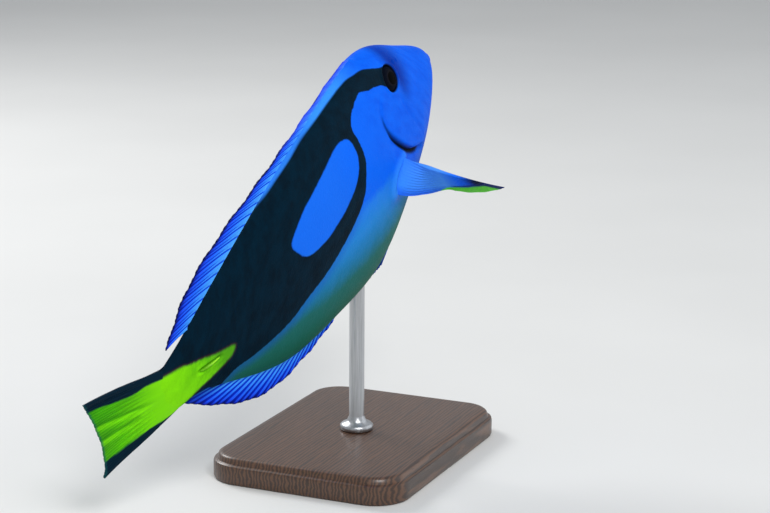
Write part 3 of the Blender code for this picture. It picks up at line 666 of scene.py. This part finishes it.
def rayReach(profile, margin, up, place, lean):  # from the body's outline to the fin's margin
    bowed = medianLook["bowed"]
    short, far = np.zeros_like(place), np.full_like(place, .20)
    for _ in range(30):
        reach = (short + far) / 2
        spot = place + reach * (np.cos(lean) + bowed * np.sin(lean))
        rise = reach * (np.sin(lean) - bowed * np.cos(lean))
        inside = up * (margin(spot) - profile(place)) > rise
        short, far = np.where(inside, reach, short), np.where(inside, far, reach)
    return short


def makeMedianFin(name, look, node):
    first, last = look["span"]
    count, up = look["spines"] + look["rays"], look["up"]
    profile = backAt if up > 0 else bellyAt
    margin, leanAt = naturalLine(look["margin"]), naturalLine(look["lean"])
    across, out = fanGrid(count, medianLook)
    share = across / (count - 1)
    place = first + (last - first) * share**.96
    lean = np.radians(leanAt(place))
    spiny = 1 - ease(across, look["spines"] - 1.2, look["spines"] - .2)
    # a spine is narrow, a soft ray of the back fin is broad and parts in two further out
    off = np.abs(across - np.round(across))
    broad = (.26, .42) if up > 0 else (.10, .32)
    soft = 1 - ease(off, *broad) - (.6 if up > 0 else .2) * bell(off, .08) * ease(out, .22, .5)
    ridge = soft * (1 - spiny) + bell(off, .16) * 1.3 * spiny
    web = 1 - np.clip(ridge, 0, 1)
    reach = rayReach(profile, margin, up, place, lean) * (1 - web * (.005 + .003 * spiny))
    bow = medianLook["bowed"] * reach * out**2
    run = reach * out
    sway = .00030 / unit * np.sin(across * 1.9 + out * 2.2) * out**1.5  # the web is never quite flat
    # the anal fin's last rays start inside the tail stem
    root = (.0003 - .0007 * ease(share, .86, .99) * (up < 0)) / unit
    centre = straight(place + run * np.cos(lean) + bow * np.sin(lean), sway,
                      profile(place) + up * (run * np.sin(lean) - bow * np.cos(lean) + root))
    raised = medianLook["ray"] * ridge * ease(out, .04, .34) * (1 - .6 * spiny)
    half = (medianLook["web"] + raised) * (1.2 - .55 * out) + .0009 * (1 - out)**7
    normal = np.zeros_like(centre)
    normal[..., 1] = 1
    piece = vane(name, centre, half, {"across": across, "out": out, "ridge": ridge, "run": run * unit,
                                      "share": share, "under": 0 * out + (up < 0)}, normal)
    dress(piece, medianFinish, "fin_blue", node)


def medianPaint(w):
    out, share, under = field(w, "out"), field(w, "share"), field(w, "under")
    where, streak = rayGrain(w, field(w, "run"))
    wander = out + (streak - .5) * .07
    web, ray = ramp(wander, medianLook["webColours"]), ramp(wander, medianLook["rayColours"])
    fromRay = w.maths("PINGPONG", field(w, "across"), .5)  # 0 on a ray, half on the web between two
    gap = step(fromRay + under * .15, .33, .45)
    parted = step(fromRay, .12, .03) * step(out, .20, .50) * (1 - under) * step(share, .30, .42) * .8
    folded = step(share, .42, .16) * (1 - under)  # the folded front of the back fin hardly shows its rays
    colour = mixed(gap.maths("MAXIMUM", gap, parted) * (1 - folded * .75), ray, web)
    colour = mixed(folded * step(out, .12, .42) * .7, colour, srgb(66, 106, 250))
    colour = mixed(folded * step(out, .80, .96) * .7, colour, srgb(44, 66, 224))
    colour = mixed(step(share, .84, 1.0, 0, .75) * under, colour, srgb(4, 30, 90))
    return {"Base Color": colour, "Roughness": .36 + streak * .16, "Normal": jointed(w, where, streak)}


print("back and anal fins")
finCoat = {"Coat_Weight": .03, "Coat_Roughness": .2, "Specular_IOR_Level": .03}
medianFinish = finish("medianFin", medianPaint, **finCoat)
makeMedianFin("fish_dorsal_fin", medianLook["dorsal"], "dorsal_fin")
makeMedianFin("fish_anal_fin", medianLook["anal"], "anal_fin")

tailLook = {
    "rays": 16, "length": .1715, "lobe": .013, "slant": .005, "middle": -.0215, "half": .098,
    "root": .052, "perRay": 12, "rows": 60, "web": .00020, "ray": .00044,
    "colours": ((0, (128, 222, 15)), (.42, (112, 210, 14)), (.75, (78, 184, 14)), (1, (54, 142, 22))),
    "creases": ((-.118, .43, .30), (-.33, .24, .50)),  # start, slope, and how far out each begins
}


def makeTailFin():
    count = tailLook["rays"]
    across, out = fanGrid(count, tailLook)
    spread = 2 * across / (count - 1) - 1
    part = .5 * np.cos(across * 2 * math.pi)
    reach = tailLook["length"] + tailLook["lobe"] * np.abs(spread)**2.2 * (1 - .35 * spread)
    reach = (reach - tailLook["slant"] * spread) * (.995 + .005 * part)
    fan = out * (1.12 - .12 * out)
    half = tailLook["root"] + (tailLook["half"] - tailLook["root"]) * fan
    height = spread * half + tailLook["middle"]
    sway = .012 * ease(out) * (1 - spread * .25) + .0003 / unit * np.sin(across * 1.3 + out * 3) * out
    centre = straight(1 + .0003 / unit + reach * out, sway, height)
    outer = ease(np.abs(spread), .84, .93)
    ridge = rayRidge(across, out, .25, .26, .13)
    ridge = np.maximum(ridge, rayRidge(across, out, .6, .10, .12) * (1 - out))
    ridge = np.maximum(ridge, outer * .7) * ease(out, .20, .60)
    half = (tailLook["web"] + tailLook["ray"] * ridge * (1 + .7 * outer)) * (1.2 - .50 * out)
    half = half + .0021 * np.sqrt(1 - .92 * spread**2) * (1 - out)**3
    piece = vane("fish_tail_fin", centre, half, {"across": across, "out": out, "ridge": ridge,
                                                 "spread": spread, "run": reach * out * unit})
    tailFinish = finish("tailFin", tailPaint, **finCoat | {"Coat_Roughness": .22})
    dress(piece, tailFinish, "fin_yellow", "caudal_fin")


def tailPaint(w):
    ridge, out, run = field(w, "ridge"), field(w, "out"), field(w, "run")
    spread, across = field(w, "spread"), field(w, "across")
    where = w.add("ShaderNodeCombineXYZ", {}, {0: across * .0025, 1: run * .35, 2: 0.0})
    streak = noise(w, where, 1100, 4, .65)
    soft = noise(w, where, 260, 3, .6)
    gold = ramp(out + (soft - .5) * .40, tailLook["colours"])
    colour = mixed(step(streak, .35, .75, 0, .38) * step(out, .28, .55), gold, srgb(62, 140, 8))
    colour = mixed(step(ridge, .3, .9, 0, .25) * step(out, .25, .5), colour, srgb(132, 226, 24))
    # two folds run to the rear edge, each a painted shadow above and a painted highlight below, and the
    # upper lobe is the greener
    colour = mixed(step(spread, .02, .55) * step(out, .15, .5) * .45, colour, srgb(46, 148, 14))
    for start, slope, reached in tailLook["creases"]:
        off = spread - (out * slope + start)
        # a painted shadow along each fold and a painted highlight just below it
        foldShade = step(off, -.02, .03) * step(off, .17, .05)
        foldHighlight = step(off, .01, -.04) * step(off, -.20, -.08)
        colour = mixed(foldShade * step(out, reached - .1, reached + .15) * .5, colour, srgb(40, 124, 12))
        colour = mixed(foldHighlight * step(out, reached - .1, reached + .15) * .5, colour, srgb(132, 236, 16))
    wander = (soft - .5) * .06 + (streak - .5) * .04
    upper = step(out, .50, 1.0) * .12 + step(out, .44, .26) * .09 + .64
    lower = .98 - step(out, .0, .55) * .27 - step(out, .5, 1.0) * .05
    edge = step(spread - upper + wander, -.035, .035) + step(-spread - lower + wander, -.035, .035)
    colour = mixed(edge, colour, paints["black"])
    rear = step(out + (streak - .5) * .03, .965, .995)
    colour = mixed(rear * .6, colour, srgb(20, 80, 84))
    along = w.add("ShaderNodeCombineXYZ", {}, {0: across * .004, 1: run, 2: 0.0})
    normal = jointed(w, along, streak, 380, .8, .5)
    return {"Base Color": colour, "Roughness": .38 + streak * .16, "Normal": normal}


print("tail fin")
makeTailFin()

pectoralLook = {
    "rays": 13, "length": .254, "front": (.287, -.036), "rear": (.352, -.080), "sunk": .05,
    "perRay": 11, "rows": 56, "web": .00017, "ray": .00030, "lift": .167, "shortest": .608,
    # where the leading ray points, and how far the fin twists from root to tip, in degrees
    "right": ((-.227, -1, -.200), 18.4, -21.2), "left": ((-.72, .56, -.42), 27, 10),
    # root to tip; the pale stop a third of the way out is lighter than the fin's own blue, a painted
    # highlight against the shade where the fin turns from the light
    "colours": ((0, (48, 132, 248)), (.14, (66, 144, 252)), (.34, (88, 166, 255)), (.50, (20, 116, 255)),
                (.70, (3, 46, 176))),
}


def makePectoral(name, left, node):
    reach, startTurn, endTurn = pectoralLook["left" if left else "right"]
    reach = np.array(reach) / np.linalg.norm(reach)
    startTurn, endTurn = math.radians(startTurn), math.radians(endTurn)
    count, sign = pectoralLook["rays"], (1 if left else -1)
    across, out = fanGrid(count, pectoralLook, -pectoralLook["sunk"])
    share = across / (count - 1)
    front, rear = np.array(pectoralLook["front"]), np.array(pectoralLook["rear"])
    place, height = (front[k] + (rear[k] - front[k]) * share for k in (0, 1))
    root = straight(place, sign * sideAt(place, height), height)
    lead = straight(front[0], sign * sideAt(*front), front[1])
    length = unit * pectoralLook["length"]
    part = .5 * np.cos(across * 2 * math.pi)
    ray = length * (1 - pectoralLook["shortest"] * share) * (.998 + .002 * part)
    fan = unit * (.0073 * share + .0375 * share * (1 - share))
    far, grown = ray * out, np.maximum(out, 0)
    turn = startTurn + (endTurn - startTurn) * ease(far / length * 2.6)
    chord = np.stack([-np.sin(turn), 0 * turn, -np.cos(turn)], -1)
    flatRoot = lead + chord * np.linalg.norm(root - lead, axis=-1, keepdims=True)
    blend = ease(grown * 3)[..., None]
    start = root * (1 - blend) + flatRoot * blend
    lift = pectoralLook["lift"] * length * (far / length)**2
    wave = .0001 * np.sin(across * 1.7 + out * 2.5) * grown
    centre = start + reach * far[..., None] + chord * (fan * grown)[..., None]
    centre[..., 2] += lift + wave
    ridge = rayRidge(across, grown, .40, .22, .15)
    leading = bell(across, .30)
    ridge = np.maximum(ridge, leading * 1.3) * ease(grown, 0, .28) * (1 - .85 * ease(grown, .5, 1))
    half = (pectoralLook["web"] + pectoralLook["ray"] * ridge) * (1.2 - .55 * grown)
    half = half + .0014 * (1 - grown)**5
    piece = vane(name, centre, half, {"across": across, "out": grown, "ridge": ridge, "share": share,
                                      "run": np.maximum(far, 0)})
    dress(piece, pectoralFinish, "fin_blue", node)


def pectoralPaint(w):
    out, share = field(w, "out"), field(w, "share")
    where, streak = rayGrain(w, field(w, "run"))
    far = field(w, "run") / (unit * pectoralLook["length"])
    blue = ramp(far + (streak - .5) * .08, pectoralLook["colours"])
    colour = mixed(step(field(w, "ridge"), .2, .9, 0, .22), blue, srgb(70, 144, 252))
    colour = mixed(step(share, .70, .98, 0, .6), colour, srgb(10, 76, 226))
    frayed = (streak - .5) * .07
    dark = step(far + frayed - share * .30, .52, .72) * step(share, .56, .30)
    colour = mixed(dark, colour, srgb(3, 18, 44))
    rim = out + frayed + share * .16
    colour = mixed(step(rim, .74, .82) * step(far, .34, .46) * .8, colour, srgb(3, 34, 104))
    gold = step(rim, .82, .88) * step(share, .06, .13)
    colour = mixed(gold, colour, mixed(step(streak, .3, .8), srgb(114, 234, 66), srgb(78, 198, 56)))
    return {"Base Color": colour, "Roughness": .37 + streak * .16, "Normal": jointed(w, where, streak)}


print("side fins")
pectoralFinish = finish("pectoralFin", pectoralPaint, **finCoat | {"Coat_Weight": .01})
makePectoral("fish_pectoral_right", False, "pectoral_fin_right")
makePectoral("fish_pectoral_left", True, "pectoral_fin_left")

pelvicLook = {"rays": 4, "length": .135, "place": .318, "side": .013, "perRay": 14, "rows": 40,
              "sunk": .10, "web": .00020, "ray": .00044}


def makePelvic(name, left, node):
    sign, count = (1 if left else -1), pelvicLook["rays"]
    across, out = fanGrid(count, pelvicLook, -pelvicLook["sunk"])
    share = across / (count - 1)
    part = .5 * np.cos(across * 2 * math.pi)
    reach = pelvicLook["length"] * (1 - .38 * share) * (.98 + .02 * part)
    down = np.radians(3.5 - 2 * share)
    run = reach * out
    place = pelvicLook["place"] + .014 * share + run * np.cos(down)
    height = float(bellyAt(pelvicLook["place"])) + .006 - run * np.sin(down)
    side = sign * (pelvicLook["side"] + .010 * share + run * (.03 + .07 * share))
    centre = straight(place, side, height)
    grown = np.maximum(out, 0)
    ridge = np.maximum(rayRidge(across, grown, .35, .22, .13), bell(across, .22) * 1.4)
    half = (pelvicLook["web"] + pelvicLook["ray"] * ridge) * (1.2 - .5 * grown)
    piece = vane(name, centre, half, {"across": across, "out": grown, "ridge": ridge,
                                      "run": np.maximum(run, 0) * unit})
    dress(piece, pelvicFinish, "fin_blue", node)


def pelvicPaint(w):
    _, streak = rayGrain(w, field(w, "run"))
    blue = mixed(step(field(w, "out") + (streak - .5) * .2, .1, .9), srgb(24, 90, 235), srgb(8, 26, 110))
    colour = mixed(step(field(w, "ridge"), .2, .9, 0, .5), blue, srgb(80, 150, 255))
    colour = mixed(step(field(w, "across"), .45, .12), colour, paints["black"])
    return {"Base Color": colour, "Roughness": .36 + streak * .16, "Normal": bumped(streak, .2, .0002)}


print("belly fins")
pelvicFinish = finish("pelvicFin", pelvicPaint, **finCoat)
makePelvic("fish_pelvic_right", False, "pelvic_fin_right")
makePelvic("fish_pelvic_left", True, "pelvic_fin_left")

# one folded blade in each slit of the tail stem
bladeLook = {"from": .895, "to": .943, "height": -.018, "half": .0009, "rings": 30, "around": 20}


def makeBlade(name, left, node):
    rings, around = bladeLook["rings"], bladeLook["around"]
    points, along = [], []
    for share in np.linspace(.004, .996, rings):
        place = bladeLook["from"] + (bladeLook["to"] - bladeLook["from"]) * share
        spot, normal, backward = skinSpot(place, bladeLook["height"], left)
        upward = np.cross(normal, backward)
        size = bladeLook["half"] * share**.5 * (1 - share**4)**.5
        middle = spot + normal * (.0004 * math.sin(math.pi * share) - .0001)
        for turn in np.linspace(0, 2 * math.pi, around, endpoint=False):
            points.append(middle + size * (math.cos(turn) * normal * .9 + math.sin(turn) * upward * .75))
            along.append(share)
    grid, faces = ringFaces(rings, around)
    faces += [grid[0].tolist(), grid[-1].tolist()]
    piece = outwards(meshPiece(name, swimming(np.array(points)), faces, {"along": along}))
    dress(piece, bladeFinish, "fin_yellow", node)


def bladePaint(w):
    along = field(w, "along")
    fleck = noise(w, objectPlace(w), 1800, 3, .6)
    colour = mixed(step(along + (fleck - .5) * .2, .1, .8), srgb(160, 232, 44), srgb(104, 176, 20))
    return {"Base Color": colour, "Roughness": .26 + fleck * .12}


print("tail blades")
bladeFinish = finish("tailBlade", bladePaint, Coat_Weight=.1, Coat_Roughness=.16, Specular_IOR_Level=.1)
makeBlade("fish_blade_left", True, "tail_blade_left")
makeBlade("fish_blade_right", False, "tail_blade_right")

stand = {
    "length": .118, "width": .086, "height": .011, "corner": .015, "cornerStep": 6,
    # how far each ring of the moulding is drawn in from the edge, and its height
    "moulding": ((-.0016, 0), (-.0004, .0003), (0, .0012), (0, .0068), (-.0003, .0078), (-.0010, .0082),
                 (-.0016, .0084), (-.0018, .0090), (-.0022, .0102), (-.0030, .0108), (-.0044, .0110)),
    # radius and height of the rod's turned foot
    "collar": ((0, 0), (.0066, 0), (.0070, .0006), (.0070, .0018), (.0062, .0026), (.0044, .0032),
               (.0038, .0044), (.0033, .0056), (.0032, .0060)),
    "rod": .0032, "rodAround": 48, "intoBelly": .0012,
}


def roundedBase():
    rings = []
    for inset, z in stand["moulding"]:
        ring = []
        corner = stand["corner"] + inset
        for sx, sy, start in ((1, 1, 0), (-1, 1, 90), (-1, -1, 180), (1, -1, 270)):
            for turn in range(0, 91, stand["cornerStep"]):
                angle = math.radians(start + turn)
                ring.append((sx * (stand["length"] / 2 - stand["corner"]) + corner * math.cos(angle),
                             sy * (stand["width"] / 2 - stand["corner"]) + corner * math.sin(angle), z))
        rings.append(ring)
    grid, faces = ringFaces(len(rings), len(rings[0]))
    faces += [grid[0].tolist(), grid[-1].tolist()]
    piece = outwards(meshPiece("stand_board", np.array(rings), faces))
    piece.data.set_sharp_from_angle(angle=math.radians(40))
    return piece


def woodPaint(w):
    grain = stretched(w, (1.0, 9.0, 9.0))
    rings = w.add("ShaderNodeTexWave", {"wave_type": "BANDS", "bands_direction": "Y"},
                  {"Vector": grain, "Scale": 22, "Distortion": 7, "Detail": 4, "Detail Scale": 1.4})
    fibre = noise(w, stretched(w, (12, 260, 260)), 9, 5, .65)
    pores = noise(w, stretched(w, (30, 600, 600)), 8, 2, .5)
    colour = mixed(step(rings * .65 + fibre * .35, .2, .8), srgb(52, 34, 24), srgb(92, 62, 42))
    colour = mixed(step(pores, .62, .70, 0, .6), colour, srgb(24, 15, 11))
    normal = bumped(fibre * .6 + pores * .8, .18, .0004)
    return {"Base Color": colour, "Roughness": .36 + fibre * .18, "Normal": normal}


def steelPaint(w):
    brush = noise(w, stretched(w, (900, 900, 18)), 3, 3, .6)
    colour = mixed(step(brush, .3, .7), srgb(168, 170, 173), srgb(196, 198, 201))
    return {"Base Color": colour, "Roughness": .24 + brush * .20, "Normal": bumped(brush, .08, .0002)}


def makeRod():
    foot, top = stand["height"] + .0003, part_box("stand_rod")[1].z + stand["intoBelly"]
    turned = [(radius, foot + rise) for radius, rise in stand["collar"]]
    turned += [(stand["rod"], top - below) for below in (.008, .004, 0)]
    around = stand["rodAround"]
    turns = np.linspace(0, 2 * math.pi, around, endpoint=False)
    points = [(0, 0, foot)]
    for radius, z in turned[1:]:
        points += [(radius * math.cos(t), radius * math.sin(t), z) for t in turns]
    grid, sides = ringFaces(len(turned) - 1, around)
    grid = grid + 1  # the first point is the middle of the foot
    faces = tipFaces(grid[0].tolist(), 0) + (np.array(sides) + 1).tolist() + [grid[-1].tolist()]
    piece = outwards(meshPiece("stand_post", points, faces))
    piece.data.set_sharp_from_angle(angle=math.radians(50))
    return piece


print("stand")
woodFinish = finish("stainedWood", woodPaint, Coat_Weight=.35, Coat_Roughness=.25)
dress(roundedBase(), woodFinish, "base_wood", "stand_base")
dress(makeRod(), finish("brushedSteel", steelPaint, Metallic=1.0), "rod_metal", "stand_rod")

studio = {
    "floor": 3.0, "sky": (.86, .89, .93, 1), "skyStrength": .55,
    "lamps": (("keyLight", (-.75, -.70, 1.00), .55, 11, (1, 1, 1)),
              ("fillLight", (.70, -.90, .45), 1.5, 3.5, (.92, .96, 1)),
              ("backLight", (.35, .95, .80), .5, 8, (1, 1, 1))),
    # the picture in pixels: its size, the lens's focal length and where the fish's middle falls
    "frame": (770, 513), "focal": 2315.6, "aim": (326.5, 212.4), "film": 36,
    # from the fish to the camera, in its own lengths, and the picture's right
    "stepBack": 4.642, "towards": (-.88556924, -.41332427, .21196735), "right": (.42294, -.90616, 0),
}
corners = [(x * studio["floor"], y * studio["floor"], 0) for x, y in ((-1, -1), (1, -1), (1, 1), (-1, 1))]
floor = meshPiece("floor", corners, [(0, 1, 2, 3)])


def floorPaint(w):
    soft = noise(w, objectPlace(w), 6, 3, .5)
    colour = mixed(soft, srgb(214, 214, 212), srgb(222, 222, 220))
    return {"Base Color": colour, "Roughness": .62 + soft * .1}


floor.data.materials.append(finish("paleFloor", floorPaint))

world = bpy.data.worlds.new("studio")
world.use_nodes = True
world.node_tree.nodes["Background"].inputs[0].default_value = studio["sky"]
world.node_tree.nodes["Background"].inputs[1].default_value = studio["skyStrength"]
bpy.context.scene.world = world
bpy.context.scene.view_settings.view_transform = "Standard"  # keeps the blue as strong as the paint


def softbox(name, spot, size, power, colour):
    lamp = bpy.data.lights.new(name, "AREA")
    lamp.shape, lamp.size, lamp.energy, lamp.color = "DISK", size, power, colour
    holder = bpy.data.objects.new(name, lamp)
    holder.location = spot
    holder.rotation_euler = (middle - Vector(spot)).to_track_quat("-Z", "Y").to_euler()
    bpy.context.collection.objects.link(holder)


print("lights and camera")
middle = Vector(fish["place"])
for lamp in studio["lamps"]:
    softbox(*lamp)

wide, tall = studio["frame"]
lens = bpy.data.cameras.new("camera")
lens.sensor_width = studio["film"]
lens.lens = studio["film"] * studio["focal"] / wide
lens.shift_x = (wide / 2 - studio["aim"][0]) / wide
lens.shift_y = -(tall / 2 - studio["aim"][1]) / wide
camera = bpy.data.objects.new("camera", lens)
towards = Vector(studio["towards"])
right = Vector(studio["right"]).normalized()
up = towards.cross(right)
turned = Matrix((right, up, towards)).transposed().to_4x4()
camera.matrix_world = Matrix.Translation(middle + towards * studio["stepBack"] * unit) @ turned
bpy.context.collection.objects.link(camera)
bpy.context.scene.camera = camera

print("done")
